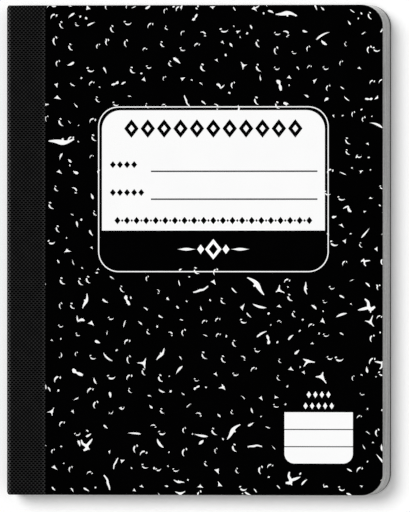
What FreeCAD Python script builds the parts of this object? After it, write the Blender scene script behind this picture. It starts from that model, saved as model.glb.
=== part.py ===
import FreeCAD, Part
import math
import os
import random

import Sketcher
from FreeCAD import Placement, Rotation, Vector

# A composition notebook lying closed on its back cover, in millimetres.
# +Z is up and +Y points to the head of the cover. The spine is on the -X side.
# The origin is the middle of the surface that it lies on.

# Driving sizes
SIZES = {
    # closed book, which leans a little
    "cover_width": 190.5,
    "cover_height": 247.65,
    "fore_edge_lean": 3.6,  # how far the back cover reaches past the front cover
    "board_thickness": 0.8,
    "block_thickness": 9.2,  # 100 sheets, pressed
    "page_inset": 0.3,  # boards stand this far past the sheets
    "corner_radius": 11.0,  # fore-edge corners of boards and sheets
    # spine tape
    "tape_thickness": 0.25,
    "tape_width": 19.5,  # on each cover
    "spine_radius": 2.0,  # outside of the rounded spine
    "hinge_offset": 3.5,  # from the spine to the crease
    "hinge_gap": 0.4,  # from the crease to the boards and to the folded sheets
    # stitches through the middle fold
    "thread_radius": 0.3,
    "thread_clearance": 0.1,
    "stitch_pitch": 8.0,
    "stitch_margin": 12.0,  # from head and tail to the first stitch
    # printing
    "print_thickness": 0.05,
    "label_offset": 46.4,  # from the spine
    "label_drop": 50.7,  # from the head
    "label_width": 116.8,
    "label_height": 84.5,
    "label_radius": 10.4,
    "label_line": 0.95,
    "label_gap": 0.95,
    "panel_height": 61.4,
    "panel_radius": 9.4,
    "rule_offset": 26.8,  # write-on lines, from the label's left
    "rule_length": 84.3,
    "rule_width": 0.5,
    "first_rule_drop": 33.1,  # from the label's top
    "second_rule_drop": 47.2,
    "sample_offset": 140.4,
    "sample_drop": 206.0,
    "sample_width": 35.0,
    "sample_height": 26.4,
    "sample_radius": 5.0,
    "ruling_pitch": 8.7,
    # marbling
    "fleck_pitch": 9.2,
    "fleck_length": 3.6,
    "fleck_margin": 0.8,  # clear of tape, edges and label
}

# Places worked out from the sizes. The sheet holds them as formulas.
PLACES = {
    "ground": "=0",
    "board_low": "=tape_thickness",
    "under_board": "=board_low - print_thickness",
    "block_low": "=board_low + board_thickness",
    "block_high": "=block_low + block_thickness",
    "board_high": "=block_high + board_thickness",
    "top": "=board_high + tape_thickness",
    "head": "=cover_height / 2",
    "tail": "=-cover_height / 2",
    "slant": "=fore_edge_lean / top",
    "stretch": "=sqrt(1 + slant * slant)",  # of a slanted length over its height
    "rounded_away": "=spine_radius * (slant + stretch - 1)",
    "front_side": "=-(cover_width + fore_edge_lean) / 2",  # outermost line of the spine
    "back_side": "=front_side + fore_edge_lean",
    "front_spine": "=front_side - rounded_away",  # its corner before rounding
    "back_spine": "=back_side - rounded_away",
    "front_fore": "=front_side + cover_width",
    "back_fore": "=back_side + cover_width",
    "front_crease": "=front_side + hinge_offset",
    "back_crease": "=back_side + hinge_offset",
    "front_board_edge": "=front_crease + hinge_gap",
    "back_board_edge": "=back_crease + hinge_gap",
    "front_fold_end": "=front_crease - hinge_gap",
    "back_fold_end": "=back_crease - hinge_gap",
    "front_tape_edge": "=front_side + tape_width",
    "back_tape_edge": "=back_side + tape_width",
    # inside of the tape beside the slanted spine
    "front_inner_spine": "=front_spine + tape_thickness * (stretch + slant)",
    "back_inner_spine": "=back_spine + tape_thickness * (stretch - slant)",
    "inner_radius": "=spine_radius - tape_thickness",
    # fore edge of the sheets, and where they leave the rounded spine
    "sheet_front_fore": "=front_fore - page_inset",
    "sheet_back_fore": "=back_fore - page_inset",
    "sheet_front_start": "=front_inner_spine + inner_radius",
    "sheet_back_start": "=back_inner_spine + inner_radius",
    # stitches
    "middle": "=top / 2",
    "hole_radius": "=thread_radius + thread_clearance",
    "outer_run": "=(front_inner_spine + back_inner_spine) / 2 + hole_radius",
    "inner_run": "=outer_run + block_thickness / 2",
    "stitch_length": "=inner_run - outer_run",
    "stitch_count": "=floor((cover_height - 2 * stitch_margin) / stitch_pitch) + 1",
    "stitch_reach": "=(stitch_count - 1) * stitch_pitch",
    "first_stitch": "=-stitch_reach / 2",
    # label
    "label_left": "=front_side + label_offset",
    "label_right": "=label_left + label_width",
    "label_top": "=head - label_drop",
    "label_bottom": "=label_top - label_height",
    "line_left": "=label_left + label_line",
    "line_right": "=label_right - label_line",
    "line_top": "=label_top - label_line",
    "line_bottom": "=label_bottom + label_line",
    "line_radius": "=label_radius - label_line",
    "panel_left": "=line_left + label_gap",
    "panel_right": "=line_right - label_gap",
    "panel_top": "=line_top - label_gap",
    "panel_bottom": "=panel_top - panel_height",
    "rule_left": "=label_left + rule_offset",
    "rule_right": "=rule_left + rule_length",
    "first_rule_top": "=label_top - first_rule_drop",
    "first_rule_bottom": "=first_rule_top - rule_width",
    "second_rule_top": "=label_top - second_rule_drop",
    "second_rule_bottom": "=second_rule_top - rule_width",
    # ruling sample
    "sample_left": "=front_side + sample_offset",
    "sample_right": "=sample_left + sample_width",
    "sample_top": "=head - sample_drop",
    "sample_bottom": "=sample_top - sample_height",
    "ruling_1_top": "=sample_top - ruling_pitch",
    "ruling_1_bottom": "=ruling_1_top - rule_width",
    "ruling_2_top": "=ruling_1_top - ruling_pitch",
    "ruling_2_bottom": "=ruling_2_top - rule_width",
}

doc = FreeCAD.newDocument("composition_notebook")
sheet = doc.addObject("Spreadsheet::Sheet", "sizes")
for row, (alias, content) in enumerate({**SIZES, **PLACES}.items(), start=1):
    sheet.set(f"A{row}", alias)
    sheet.set(f"B{row}", str(content))
    sheet.setAlias(f"B{row}", alias)
doc.recompute()


def value(alias):
    return float(sheet.get(alias))


def corner_arc(before, corner, after, radius):
    """The arc that rounds a corner between two straight sides, and its two ends."""
    to_before = (before - corner).normalize()
    to_after = (after - corner).normalize()
    half_angle = to_before.getAngle(to_after) / 2
    reach = radius / math.tan(half_angle)
    start = corner + to_before * reach
    end = corner + to_after * reach
    centre = corner + (to_before + to_after).normalize() * (radius / math.sin(half_angle))
    middle = centre + (corner - centre).normalize() * radius
    return Part.Arc(start, middle, end), start, end


def add_outline(sketch, corners):
    """A closed outline through named corners: (x name, y name, radius name or None)."""
    points = [Vector(value(x), value(y), 0) for x, y, _ in corners]
    count = len(corners)
    starts = list(points)
    ends = list(points)
    arcs = {}
    for i, (_, _, radius) in enumerate(corners):
        if radius:
            curve, ends[i], starts[i] = corner_arc(
                points[i - 1], points[i], points[(i + 1) % count], value(radius)
            )
            arcs[i] = sketch.addGeometry(curve, False)
    sides = [
        sketch.addGeometry(Part.LineSegment(starts[i], ends[(i + 1) % count]), False)
        for i in range(count)
    ]
    for i, (x, y, radius) in enumerate(corners):
        mark = sketch.addGeometry(Part.Point(points[i]), True)
        for kind, name in (("DistanceX", x), ("DistanceY", y)):
            place = sketch.addConstraint(
                Sketcher.Constraint(kind, -1, 1, mark, 1, value(name))
            )
            sketch.setExpression(f"Constraints[{place}]", f"sizes.{name}")
        before = sides[i - 1]
        after = sides[i]
        if not radius:
            sketch.addConstraint(Sketcher.Constraint("Coincident", before, 2, mark, 1))
            sketch.addConstraint(Sketcher.Constraint("Coincident", after, 1, mark, 1))
            continue
        sketch.addConstraint(Sketcher.Constraint("PointOnObject", mark, 1, before))
        sketch.addConstraint(Sketcher.Constraint("PointOnObject", mark, 1, after))
        # an arc's own start may be at either side, so its ends are matched by place
        arc = arcs[i]
        first = sketch.getPoint(arc, 1)
        near, far = (1, 2) if first.distanceToPoint(ends[i]) < first.distanceToPoint(starts[i]) else (2, 1)
        sketch.addConstraint(Sketcher.Constraint("Tangent", before, 2, arc, near))
        sketch.addConstraint(Sketcher.Constraint("Tangent", after, 1, arc, far))
        size = sketch.addConstraint(Sketcher.Constraint("Radius", arc, value(radius)))
        sketch.setExpression(f"Constraints[{size}]", f"sizes.{radius}")


def add_circle(sketch, x, y, radius):
    circle = Part.Circle(Vector(value(x), value(y), 0), Vector(0, 0, 1), value(radius))
    ring = sketch.addGeometry(circle, False)
    for kind, name in (("DistanceX", x), ("DistanceY", y)):
        place = sketch.addConstraint(Sketcher.Constraint(kind, -1, 1, ring, 3, value(name)))
        sketch.setExpression(f"Constraints[{place}]", f"sizes.{name}")
    size = sketch.addConstraint(Sketcher.Constraint("Radius", ring, value(radius)))
    sketch.setExpression(f"Constraints[{size}]", f"sizes.{radius}")


def new_body(label):
    body = doc.addObject("PartDesign::Body", label)
    body.Label = label
    return body


def new_sketch(body, name, plane, level=None):
    """A sketch on one of the body's own planes, raised to a named level."""
    sketch = body.newObject("Sketcher::SketchObject", name)
    sketch.AttachmentSupport = [
        (next(f for f in body.Origin.OriginFeatures if f.Role == plane), "")
    ]
    sketch.MapMode = "FlatFace"
    if level:
        sketch.setExpression("AttachmentOffset.Base.z", f"sizes.{level}")
    return sketch


def new_pad(body, sketch, length, symmetric=False, kind="Pad"):
    """Pads or pockets a sketch by a named length."""
    feature = body.newObject(f"PartDesign::{kind}", f"{sketch.Name}_{kind.lower()}")
    feature.Profile = sketch
    feature.setExpression("Length", f"sizes.{length}")
    if symmetric:
        feature.SideType = "Symmetric"
    sketch.Visibility = False
    body.Tip = feature
    return feature


def plan_outline(edge, fore):
    """A board or a sheet seen from above: square at the spine, round at the fore edge."""
    return [
        (edge, "tail", None),
        (fore, "tail", "corner_radius"),
        (fore, "head", "corner_radius"),
        (edge, "head", None),
    ]


def rectangle(left, bottom, right, top):
    return [
        (left, bottom, None),
        (right, bottom, None),
        (right, top, None),
        (left, top, None),
    ]


def make_cover(label, edge, fore, low):
    body = new_body(label)
    sketch = new_sketch(body, f"{label}_outline", "XY_Plane", low)
    add_outline(sketch, plan_outline(edge, fore))
    new_pad(body, sketch, "board_thickness")
    return body


def make_tape_strip(label, crease, edge, low):
    """The part of the tape that is glued to a board and turns with it."""
    body = new_body(label)
    sketch = new_sketch(body, f"{label}_outline", "XY_Plane", low)
    add_outline(sketch, rectangle(crease, "tail", edge, "head"))
    new_pad(body, sketch, "tape_thickness")
    return body


def make_tape_middle():
    """The part of the tape that wraps the folded sheets, between the two creases."""
    body = new_body("spine_tape_middle")
    sketch = new_sketch(body, "tape_section", "XZ_Plane")
    corners = [
        ("back_crease", "ground", None),
        ("back_spine", "ground", "spine_radius"),
        ("front_spine", "top", "spine_radius"),
        ("front_crease", "top", None),
        ("front_crease", "board_high", None),
        ("front_inner_spine", "board_high", "inner_radius"),
        ("back_inner_spine", "board_low", "inner_radius"),
        ("back_crease", "board_low", None),
    ]
    add_outline(sketch, corners)
    new_pad(body, sketch, "cover_height", symmetric=True)
    return body


def add_stitches(body, radius, kind):
    """Both long runs of the thread and the stitches between them, or the room for them."""
    for run in ("outer_run", "inner_run"):
        sketch = new_sketch(body, f"{body.Name}_{run}", "XZ_Plane")
        add_circle(sketch, run, "middle", radius)
        new_pad(body, sketch, "stitch_reach", symmetric=True, kind=kind)
    stitch = new_sketch(body, f"{body.Name}_stitch", "YZ_Plane", "outer_run")
    add_circle(stitch, "first_stitch", "middle", radius)
    leg = new_pad(body, stitch, "stitch_length", kind=kind)
    leg.Reversed = kind == "Pocket"
    doc.recompute()
    row = body.newObject("PartDesign::LinearPattern", f"{body.Name}_row")
    row.Originals = [leg]
    along = next(f for f in body.Origin.OriginFeatures if f.Role == "Y_Axis")
    row.Direction = (along, [""])
    row.setExpression("Length", "sizes.stitch_reach")
    row.setExpression("Occurrences", "sizes.stitch_count")
    body.Tip = row


def make_page_block():
    """100 folded sheets as one solid: a rounded spine, a leaning body and the thread's holes."""
    body = new_body("page_block")
    spine = new_sketch(body, "fold_section", "XZ_Plane")
    corners = [
        ("back_fold_end", "board_low", None),
        ("back_inner_spine", "board_low", "inner_radius"),
        ("front_inner_spine", "board_high", "inner_radius"),
        ("front_fold_end", "board_high", None),
    ]
    add_outline(spine, corners)
    new_pad(body, spine, "cover_height", symmetric=True)
    low = new_sketch(body, "lowest_sheet", "XY_Plane", "block_low")
    add_outline(low, plan_outline("sheet_back_start", "sheet_back_fore"))
    high = new_sketch(body, "highest_sheet", "XY_Plane", "block_high")
    add_outline(high, plan_outline("sheet_front_start", "sheet_front_fore"))
    doc.recompute()
    stack = body.newObject("PartDesign::AdditiveLoft", "sheets")
    stack.Profile = low
    stack.Sections = [high]
    stack.Ruled = True
    body.Tip = stack
    doc.recompute()
    whole = body.Shape.Volume
    add_stitches(body, "hole_radius", "Pocket")
    doc.recompute()
    print(f"page_block: the thread's holes take {whole - body.Shape.Volume:.1f} mm3")
    return body


def make_thread():
    body = new_body("binding_thread")
    add_stitches(body, "thread_radius", "Pad")
    return body


def make_label_print():
    """White printing on the front: outline, panel with write-on lines, ruling sample."""
    body = new_body("label_print")
    sketch = new_sketch(body, "label_fields", "XY_Plane", "board_high")
    border = [
        ("label_left", "label_bottom", "label_radius"),
        ("label_right", "label_bottom", "label_radius"),
        ("label_right", "label_top", "label_radius"),
        ("label_left", "label_top", "label_radius"),
    ]
    border_inside = [
        ("line_left", "line_bottom", "line_radius"),
        ("line_right", "line_bottom", "line_radius"),
        ("line_right", "line_top", "line_radius"),
        ("line_left", "line_top", "line_radius"),
    ]
    panel = [
        ("panel_left", "panel_bottom", None),
        ("panel_right", "panel_bottom", None),
        ("panel_right", "panel_top", "panel_radius"),
        ("panel_left", "panel_top", "panel_radius"),
    ]
    first_rule = rectangle("rule_left", "first_rule_bottom", "rule_right", "first_rule_top")
    second_rule = rectangle("rule_left", "second_rule_bottom", "rule_right", "second_rule_top")
    sample_head = rectangle("sample_left", "ruling_1_top", "sample_right", "sample_top")
    sample_middle = rectangle(
        "sample_left", "ruling_2_top", "sample_right", "ruling_1_bottom"
    )
    sample_foot = [
        ("sample_left", "sample_bottom", "sample_radius"),
        ("sample_right", "sample_bottom", "sample_radius"),
        ("sample_right", "ruling_2_bottom", None),
        ("sample_left", "ruling_2_bottom", None),
    ]
    for outline in (
        border,
        border_inside,
        panel,
        first_rule,
        second_rule,
        sample_head,
        sample_middle,
        sample_foot,
    ):
        add_outline(sketch, outline)
    new_pad(body, sketch, "print_thickness")
    return body


# Outlines of the flecks, each about one unit long
FLECKS = {
    "curl": [(-0.5, 0.25), (-0.15, -0.3), (0.5, 0.1), (-0.05, -0.02)],
    "leaf": [(-0.5, -0.1), (0.05, -0.16), (0.5, 0.1), (-0.05, 0.16)],
    "chip": [(-0.4, -0.2), (0.4, -0.1), (-0.1, 0.4)],
    "splash": [(-0.9, 0.1), (-0.1, -0.2), (0.4, -0.7), (0.3, 0), (0.9, 0.4), (0.05, 0.2)],
    "streak": [(-1.1, -0.25), (0, -0.1), (1.1, -0.35), (0.3, 0.12), (-0.4, 0.12)],
}
# Share of each kind, in the order that they are drawn from
SHARES = {"curl": 0.42, "leaf": 0.34, "chip": 0.14, "splash": 0.05, "streak": 0.05}


def pick_kind(draw):
    for kind, share in SHARES.items():
        if draw < share:
            return kind
        draw -= share
    return "leaf"


def laid(points, length, angle, x, y):
    """An outline enlarged, turned and moved to its place."""
    c = math.cos(angle) * length
    s = math.sin(angle) * length
    return [(x + u * c - v * s, y + u * s + v * c) for u, v in points]


def inside(points, left, bottom, right, top):
    return all(left < x < right and bottom < y < top for x, y in points)


def clear_of(points, left, bottom, right, top):
    xs = [x for x, _ in points]
    ys = [y for _, y in points]
    return max(xs) < left or min(xs) > right or max(ys) < bottom or min(ys) > top


def clear_of_corners(points, fore):
    """True if no point lies past the rounded fore-edge corners."""
    radius = value("corner_radius")
    margin = value("fleck_margin")
    for x, y in points:
        past_x = x - (fore - radius)
        past_y = abs(y) - (value("head") - radius)
        if past_x > 0 and past_y > 0 and math.hypot(past_x, past_y) > radius - margin:
            return False
    return True


# How far a fleck may lie from the middle of its cell, and its share of the usual length
STRAY = 0.36
SMALLEST = 0.65
LARGEST = 1.2


def make_marbling(label, tape_edge, fore, low, blocks, seed):
    """White flecks on one cover, one in each cell of a loose grid, as thin prisms."""
    rng = random.Random(seed)
    pitch = value("fleck_pitch")
    margin = value("fleck_margin")
    left = value(tape_edge) + margin
    right = value(fore) - margin
    bottom = value("tail") + margin
    top = value("head") - margin
    columns = math.ceil((right - left) / pitch)
    rows = math.ceil((top - bottom) / pitch)
    flecks = []
    for row in range(rows):
        for column in range(columns):
            x = left + (column + 0.5 + rng.uniform(-STRAY, STRAY)) * pitch
            y = bottom + (row + 0.5 + rng.uniform(-STRAY, STRAY)) * pitch
            outline = FLECKS[pick_kind(rng.random())]
            length = value("fleck_length") * rng.uniform(SMALLEST, LARGEST)
            points = laid(outline, length, rng.uniform(0, 2 * math.pi), x, y)
            fits = inside(points, left, bottom, right, top)
            if not fits or not clear_of_corners(points, value(fore)):
                continue
            if all(clear_of(points, *block) for block in blocks):
                flecks.append(points)
    level = value(low)
    prisms = []
    for points in flecks:
        corners = [Vector(x, y, level) for x, y in points]
        face = Part.Face(Part.makePolygon(corners + corners[:1]))
        prisms.append(face.extrude(Vector(0, 0, value("print_thickness"))))
    marbling = doc.addObject("Part::Feature", label)
    marbling.Label = label
    marbling.Shape = Part.makeCompound(prisms)
    marbling.Placement = Placement(Vector(0, 0, 0), Rotation())
    print(f"{label}: {len(prisms)} flecks")
    return marbling


def label_blocks():
    """Fields of the front cover that the marbling stays out of."""
    margin = value("fleck_margin")
    return [
        (
            value("label_left") - margin,
            value("label_bottom") - margin,
            value("label_right") + margin,
            value("label_top") + margin,
        ),
        (
            value("sample_left") - margin,
            value("sample_bottom") - margin,
            value("sample_right") + margin,
            value("sample_top") + margin,
        ),
    ]


sub_parts = [
    make_page_block(),
    make_thread(),
    make_cover("front_cover", "front_board_edge", "front_fore", "block_high"),
    make_cover("back_cover", "back_board_edge", "back_fore", "board_low"),
    make_tape_middle(),
    make_tape_strip("spine_tape_front", "front_crease", "front_tape_edge", "board_high"),
    make_tape_strip("spine_tape_back", "back_crease", "back_tape_edge", "ground"),
    make_label_print(),
    make_marbling(
        "marbling_front", "front_tape_edge", "front_fore", "board_high", label_blocks(), 7
    ),
    make_marbling("marbling_back", "back_tape_edge", "back_fore", "under_board", [], 11),
]
doc.recompute()

for part in doc.Objects:
    if "Invalid" in part.State or "Error" in part.State:
        raise RuntimeError(f"{part.Name} failed: {part.State}")
for part in sub_parts:
    if part.Shape.isNull() or not part.Shape.isValid():
        raise RuntimeError(f"{part.Label} has no valid shape")

os.makedirs("parts", exist_ok=True)
for part in sub_parts:
    part.Shape.exportStep(f"parts/{part.Label}.step")
    box = part.Shape.BoundBox
    print(
        f"{part.Label}: {len(part.Shape.Solids)} solids, {part.Shape.Volume:.1f} mm3, "
        f"x {box.XMin:.2f} to {box.XMax:.2f}, y {box.YMin:.2f} to {box.YMax:.2f}, "
        f"z {box.ZMin:.2f} to {box.ZMax:.2f}"
    )
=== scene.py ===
import math
import random

import bmesh
import bpy
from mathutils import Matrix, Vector
from mathutils.geometry import delaunay_2d_cdt


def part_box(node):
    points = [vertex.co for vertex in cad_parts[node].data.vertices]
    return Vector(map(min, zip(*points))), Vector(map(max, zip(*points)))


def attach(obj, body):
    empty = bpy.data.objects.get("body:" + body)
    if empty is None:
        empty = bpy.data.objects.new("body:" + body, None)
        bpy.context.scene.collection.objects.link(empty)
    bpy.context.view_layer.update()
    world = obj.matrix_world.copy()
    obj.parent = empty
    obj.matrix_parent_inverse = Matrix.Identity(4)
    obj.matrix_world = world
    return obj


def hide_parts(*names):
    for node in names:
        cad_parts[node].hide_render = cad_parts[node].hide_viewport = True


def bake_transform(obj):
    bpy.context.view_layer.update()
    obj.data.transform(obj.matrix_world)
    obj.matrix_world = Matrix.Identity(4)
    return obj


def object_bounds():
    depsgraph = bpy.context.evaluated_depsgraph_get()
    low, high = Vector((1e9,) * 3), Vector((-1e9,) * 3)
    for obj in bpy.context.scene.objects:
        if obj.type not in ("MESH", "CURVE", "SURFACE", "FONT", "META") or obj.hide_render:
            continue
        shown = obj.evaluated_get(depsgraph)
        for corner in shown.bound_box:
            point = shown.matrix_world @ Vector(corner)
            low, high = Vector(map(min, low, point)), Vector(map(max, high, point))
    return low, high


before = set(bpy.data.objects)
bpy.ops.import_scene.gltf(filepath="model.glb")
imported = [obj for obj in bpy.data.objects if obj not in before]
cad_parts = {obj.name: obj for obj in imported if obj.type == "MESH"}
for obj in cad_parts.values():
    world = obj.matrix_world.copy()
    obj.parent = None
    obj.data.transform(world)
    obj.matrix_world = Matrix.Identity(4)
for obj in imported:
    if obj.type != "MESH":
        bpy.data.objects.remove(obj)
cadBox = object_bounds()
print("frame loaded")

# Main lines of the closed book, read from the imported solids. Metres, +Z up, spine at -X
frontBoardLow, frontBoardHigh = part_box("front_cover")
backBoardLow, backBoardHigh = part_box("back_cover")
frontStripLow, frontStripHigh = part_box("spine_tape_front")
backStripLow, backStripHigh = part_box("spine_tape_back")
labelLow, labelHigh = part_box("label_print")

book = {
    "cornerRadius": 0.011,  # fore-edge corners of boards and sheets
    "spineRadius": 0.002,  # rounding of the spine, seen from the head
    "spineCorner": 0.0013,  # rounding of the spine's ends, seen from above
    "pageInset": 0.00036,  # boards stand this far past the sheets
}
top = cadBox[1].z
head = frontBoardHigh.y
frontFore = frontBoardHigh.x
backFore = backBoardHigh.x
frontCrease = frontStripLow.x
backCrease = backStripLow.x
frontTapeEdge = frontStripHigh.x
backTapeEdge = backStripHigh.x
slant = (backFore - frontFore) / top  # of the leaning block
stretch = math.sqrt(1 + slant * slant)
frontSide = cadBox[0].x  # outermost line of the spine
frontSpine = frontSide - book["spineRadius"] * (slant + stretch - 1)
backSpine = frontSpine + slant * top


# Node helpers

def newMaterial(name):
    material = bpy.data.materials.new(name)
    material.use_nodes = True
    return material, material.node_tree, material.node_tree.nodes["Principled BSDF"]


def join(tree, source, socket):
    if isinstance(source, bpy.types.NodeSocket):
        tree.links.new(source, socket)
    else:
        socket.default_value = source


def addNode(tree, kind, inputs=None, **settings):
    node = tree.nodes.new(kind)
    for key, setting in settings.items():
        setattr(node, key, setting)
    for key, source in (inputs or {}).items():
        join(tree, source, node.inputs[key])
    return node


def maths(tree, operation, first, second=0.0):
    inputs = {0: first, 1: second}
    return addNode(tree, "ShaderNodeMath", inputs, operation=operation).outputs[0]


def times(tree, first, second):
    return maths(tree, "MULTIPLY", first, second)


def minus(tree, first, second):
    return maths(tree, "SUBTRACT", first, second)


def noise(tree, place, scale, detail=3.0):
    inputs = {"Vector": place, "Scale": scale, "Detail": detail}
    return addNode(tree, "ShaderNodeTexNoise", inputs).outputs["Fac"]


def mixColours(tree, factor, first, second):
    node = addNode(tree, "ShaderNodeMix", data_type="RGBA")
    join(tree, factor, node.inputs[0])
    join(tree, first, node.inputs[6])
    join(tree, second, node.inputs[7])
    return node.outputs[2]


def ramp(tree, factor, low, high, fromLow=0.0, fromHigh=1.0):
    inputs = {"Value": factor, "From Min": fromLow, "From Max": fromHigh}
    inputs.update({"To Min": low, "To Max": high})
    return addNode(tree, "ShaderNodeMapRange", inputs).outputs[0]


def ownPlace(tree):
    return addNode(tree, "ShaderNodeTexCoord").outputs["Object"]


def stretched(tree, place, scale):
    return addNode(tree, "ShaderNodeMapping", {"Vector": place, "Scale": scale}).outputs[0]


def blendNoise(tree, first, second, share):
    # mean of two noises, share is the weight of the first
    weighted = times(tree, first, share)
    return maths(tree, "ADD", weighted, times(tree, second, 1 - share))


def shaded(tree, shade, dark, pale, spread=(0.35, 0.65)):
    # noise keeps near its middle, so only that part of it runs from dark to pale
    return mixColours(tree, ramp(tree, shade, 0, 1, *spread), dark, pale)


def addBump(tree, shader, height, strength, distance):
    inputs = {"Height": height, "Strength": strength, "Distance": distance}
    bump = addNode(tree, "ShaderNodeBump", inputs)
    tree.links.new(bump.outputs["Normal"], shader.inputs["Normal"])


def setSurface(tree, shader, colour, wear, height, values):
    # wear drives the roughness, between the two ends that values gives
    tree.links.new(colour, shader.inputs["Base Color"])
    tree.links.new(ramp(tree, wear, *values["roughness"]), shader.inputs["Roughness"])
    shader.inputs["Specular IOR Level"].default_value = values["specular"]
    addBump(tree, shader, height, *values["bump"])


# Printed board: ink or bare white on the same calendered card
printing = {
    "cloudScale": 60.0,  # slow changes over a centimetre or two
    "cloudShare": 0.55,
    "grainScale": 2600.0,  # card grain, under half a millimetre
    "spread": (0.32, 0.68),
    "roughness": (0.42, 0.62, 0.3, 0.7),  # two ends, and the wear at each
    "bump": (0.12, 0.00006),  # strength and depth
}
inks = {
    "black": {"deep": (0.0001, 0.0001, 0.0001, 1), "worn": (0.0006, 0.0006, 0.0007, 1), "specular": 0.003},
    "white": {"deep": (0.975, 0.975, 0.975, 1), "worn": (0.95, 0.95, 0.951, 1), "specular": 0.1},
    "grey": {"deep": (0.04, 0.042, 0.045, 1), "worn": (0.06, 0.062, 0.066, 1), "specular": 0.003},
}


def makePrinting(name, ink):
    material, tree, shader = newMaterial(name)
    values = dict(printing, **inks[ink])
    place = ownPlace(tree)
    cloud = noise(tree, place, values["cloudScale"], 4.0)
    grain = noise(tree, place, values["grainScale"], 2.0)
    mottle = blendNoise(tree, cloud, grain, values["cloudShare"])
    colour = shaded(tree, mottle, values["deep"], values["worn"], values["spread"])
    setSurface(tree, shader, colour, mottle, grain, values)
    return material


blackPrint = makePrinting("blackPrint", "black")
whitePrint = makePrinting("whitePrint", "white")
greyPrint = makePrinting("greyPrint", "grey")

# Bare board: the cut edge shows pressed layers, the inside is lined with plain paper
rawEdge = {
    "dark": (0.009, 0.009, 0.0088, 1),
    "pale": (0.038, 0.037, 0.035, 1),
    "layerScale": 5200.0,
    "stretch": (0.08, 0.08, 1.0),  # the layers run along the edge
    "fuzzScale": 1800.0,
    "fuzzWeight": 0.5,
    "spread": (0.5, 1.0),
    "roughness": (0.75, 0.95),
    "specular": 0.2,
    "bump": (0.5, 0.00005),
}
liningPaper = {
    "dark": (0.66, 0.645, 0.61, 1),
    "pale": (0.79, 0.78, 0.75, 1),
    "fibreScale": 900.0,
    "stretch": (0.35, 1.0, 1.0),  # the fibres lie across the book
    "fibreShare": 0.6,
    "cloudScale": 45.0,
    "roughness": (0.7, 0.9),
    "specular": 0.25,
    "bump": (0.25, 0.00008),
}


def makeBoardEdge():
    material, tree, shader = newMaterial("boardEdge")
    place = ownPlace(tree)
    layers = noise(tree, stretched(tree, place, rawEdge["stretch"]), rawEdge["layerScale"], 2.0)
    fuzz = noise(tree, place, rawEdge["fuzzScale"])
    height = maths(tree, "ADD", layers, times(tree, fuzz, rawEdge["fuzzWeight"]))
    colour = shaded(tree, height, rawEdge["dark"], rawEdge["pale"], rawEdge["spread"])
    setSurface(tree, shader, colour, fuzz, height, rawEdge)
    return material


def makeLining():
    material, tree, shader = newMaterial("boardLining")
    place = ownPlace(tree)
    fibres = noise(tree, stretched(tree, place, liningPaper["stretch"]), liningPaper["fibreScale"], 5.0)
    cloud = noise(tree, place, liningPaper["cloudScale"])
    shade = blendNoise(tree, fibres, cloud, liningPaper["fibreShare"])
    colour = shaded(tree, shade, liningPaper["dark"], liningPaper["pale"])
    setSurface(tree, shader, colour, fibres, fibres, liningPaper)
    return material


boardEdge = makeBoardEdge()
boardLining = makeLining()

# Writing paper: pale blue ruling and a red margin line, printed on the broad sides only
ruling = {
    "pitch": 0.0087,
    "lineWidth": 0.0003,
    "firstLine": 0.032,  # from the head
    "lastLine": 0.012,  # from the tail
    "margin": 0.032,  # from the spine
    "foreMargin": 0.004,
    "blue": (0.33, 0.5, 0.72, 1),
    "red": (0.75, 0.3, 0.34, 1),
    "strength": 0.85,
}
paper = {
    "dark": (0.83, 0.83, 0.81, 1),
    "pale": (0.9, 0.9, 0.885, 1),
    "fibreScale": 1400.0,
    "fibreShare": 0.6,
    "cloudScale": 70.0,
    "roughness": (0.75, 0.92),
    "specular": 0.25,
    "bump": (0.2, 0.00004),
}


def makeRuledPaper():
    material, tree, shader = newMaterial("ruledPaper")
    place = ownPlace(tree)
    fibres = noise(tree, place, paper["fibreScale"], 5.0)
    cloud = noise(tree, place, paper["cloudScale"])
    shade = blendNoise(tree, fibres, cloud, paper["fibreShare"])
    colour = shaded(tree, shade, paper["dark"], paper["pale"])
    parts = addNode(tree, "ShaderNodeSeparateXYZ", {0: place})
    fromHead = minus(tree, head, parts.outputs["Y"])
    fromFirst = minus(tree, fromHead, ruling["firstLine"])
    across = maths(tree, "MODULO", maths(tree, "ADD", fromFirst, ruling["lineWidth"] / 2), ruling["pitch"])
    onLine = maths(tree, "LESS_THAN", across, ruling["lineWidth"])
    belowFirst = maths(tree, "GREATER_THAN", fromFirst, -ruling["lineWidth"])
    aboveLast = maths(tree, "LESS_THAN", fromHead, 2 * head - ruling["lastLine"])
    beforeFore = maths(tree, "LESS_THAN", parts.outputs["X"], frontFore - ruling["foreMargin"])
    blueLine = times(tree, times(tree, onLine, belowFirst), aboveLast)
    blueLine = times(tree, blueLine, beforeFore)
    fromMargin = minus(tree, parts.outputs["X"], frontSpine + ruling["margin"])
    nearMargin = maths(tree, "ABSOLUTE", fromMargin)
    redLine = maths(tree, "LESS_THAN", nearMargin, ruling["lineWidth"] / 2)
    for line, ink in ((blueLine, ruling["blue"]), (redLine, ruling["red"])):
        colour = mixColours(tree, times(tree, line, ruling["strength"]), colour, ink)
    setSurface(tree, shader, colour, fibres, fibres, paper)
    return material


# Cut edges of the sheets: greyer than the faces, painted shade for the shade each edge gets from its
# neighbours
shadedCutEdge = {
    # painted shade: both ends are greyer than the white paper, and the noise only varies the tone
    "dark": (0.58, 0.58, 0.574, 1),
    "pale": (0.88, 0.88, 0.873, 1),
    "bundleScale": 1500.0,  # bundles of a few sheets
    "stretch": (0.02, 0.02, 1.0),  # the bundles run along the edge
    "bundleShare": 0.7,
    "fuzzScale": 900.0,
    "roughness": (0.8, 0.95),
    "specular": 0.2,
    "bump": (0.3, 0.00006),
}


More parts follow.
